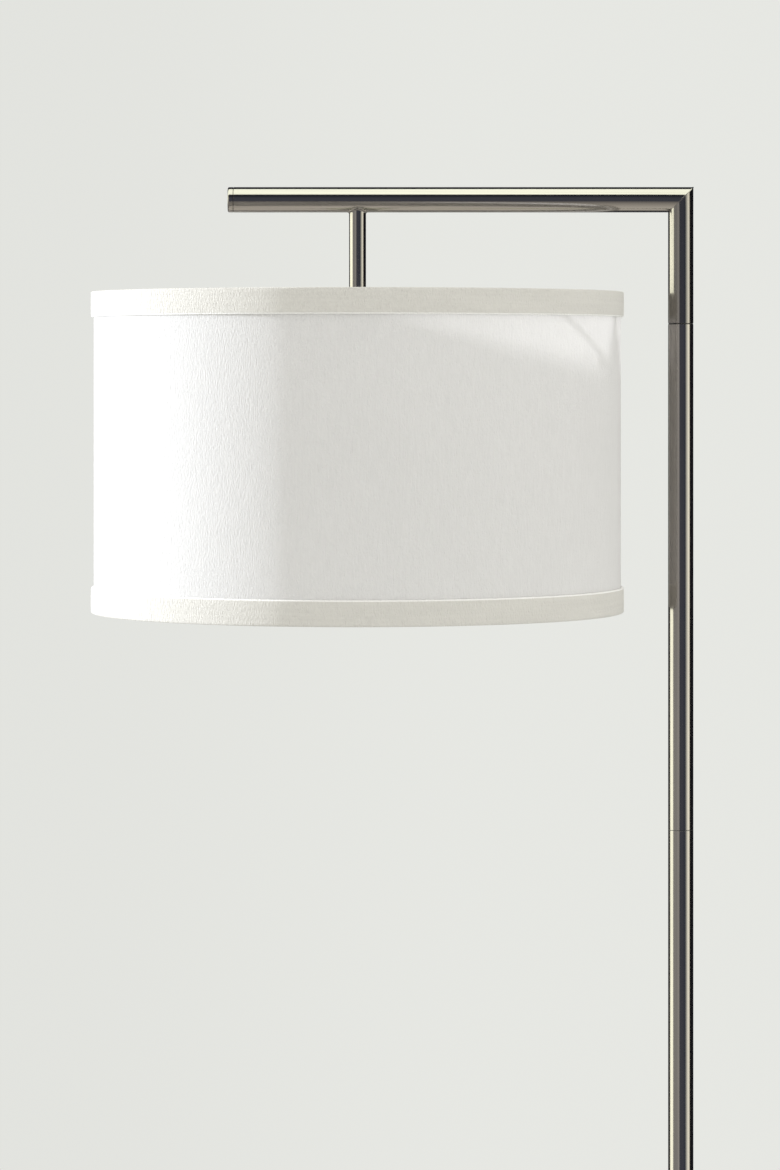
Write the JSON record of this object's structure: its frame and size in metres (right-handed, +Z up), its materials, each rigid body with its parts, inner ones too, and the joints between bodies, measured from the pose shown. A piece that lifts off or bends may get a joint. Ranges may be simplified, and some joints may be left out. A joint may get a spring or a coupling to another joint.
{
  "type": "floor lamp",
  "caption": "Pharmacy-style floor lamp: round weighted base, slim polished pole, swivelling L-shaped arm and a fabric drum shade hung on a drop stem.",
  "frame": {"origin": "on the floor at the centre of the round base", "axes": "+Z up along the pole, the arm reaches towards -X, -Y is the front"},
  "size_m": [0.5094, 0.4, 1.651],
  "materials": {
    "nickel": "polished nickel plate on steel tube",
    "cast_iron": "rough casting, black primer",
    "steel": "zinc-plated steel",
    "brass": "bright brass",
    "felt": "black felt",
    "socket_metal": "satin nickel plate",
    "porcelain": "glazed white insulator",
    "fibre": "brown fibre",
    "phenolic": "black moulded plastic",
    "nylon": "black nylon",
    "lead_sheath": "black lead sheath",
    "shade_fabric": "off-white slubbed fabric, laminated",
    "shade_trim": "off-white fabric tape",
    "shade_liner": "white translucent styrene",
    "white_wire": "white painted wire",
    "bulb_glass": "clear glass",
    "bulb_cap": "nickelled screw cap",
    "black_glass": "black glass insulator",
    "phosphor": "yellow phosphor rods"
  },
  "bodies": {
    "stand": {"base_cover": "nickel", "base_weight": "cast_iron", "base_felt": "felt", "base_washer": "steel", "base_nut": "steel", "base_stud": "steel", "base_collar": "nickel", "cord_bushing": "phenolic", "pole_section_1": "nickel", "pole_section_2": "nickel", "pole_section_3": "nickel", "pole_section_4": "nickel", "pole_foot_insert": "steel", "pole_insert_1": "steel", "pole_insert_2": "steel", "pole_insert_3": "steel", "pole_stud_1": "steel", "pole_stud_2": "steel", "pole_stud_3": "steel", "swivel_bush": "brass", "swivel_washer": "nylon", "lead_pole": "lead_sheath"},
    "arm": {"swivel_spigot": "steel", "swivel_stop_collar": "steel", "elbow_leg": "nickel", "arm_tube": "nickel", "arm_end_cap": "nickel", "drop_stem": "nickel", "lead_arm": "lead_sheath", "socket_cap": "socket_metal", "stem_locknut": "steel", "socket_shell": "socket_metal", "socket_core": "porcelain", "screw_shell": "brass", "socket_sleeve": "fibre", "centre_contact": "brass", "terminal_screws": "brass", "fitter_ring": "socket_metal", "shade_ring_nut": "socket_metal", "spider_arm_1": "socket_metal", "spider_arm_2": "socket_metal", "spider_arm_3": "socket_metal", "shade_top_ring": "white_wire", "shade_bottom_ring": "white_wire", "shade_liner": "shade_liner", "shade_fabric": "shade_fabric", "shade_trim_top": "shade_trim", "shade_trim_bottom": "shade_trim"},
    "switch": {"switch_shaft": "steel", "switch_knob": "phenolic"},
    "bulb_tip": {"bulb_tip_contact": "brass"},
    "bulb": {"bulb_cap_insulator": "black_glass", "bulb_cap": "bulb_cap", "bulb_glass": "bulb_glass", "bulb_mount": "bulb_glass", "bulb_filaments": "phosphor"}
  },
  "joints": [
    {"name": "arm_swivel", "type": "hinge", "parent": "stand", "child": "arm", "pos_m": [0.075, 0, 1.548], "axis": [0, 0, 1], "range_deg": [-165, 165]},
    {"name": "switch_turn", "type": "hinge", "parent": "arm", "child": "switch", "pos_m": [-0.168, -0.03, 1.548], "axis": [0, -1, 0], "continuous": true},
    {"name": "bulb_drop", "type": "slide", "parent": "arm", "child": "bulb_tip", "axis": [0, 0, -1], "range_m": [0, 0.0255]},
    {"name": "bulb_turn", "type": "hinge", "parent": "bulb_tip", "child": "bulb", "pos_m": [-0.168, 0, 1.5], "axis": [0, 0, -1], "range_deg": [0, 2520]}
  ],
  "couplings": [
    {"joint": "bulb_drop", "follows": "bulb_turn", "m_per_rad": 0.00057774}
  ]
}
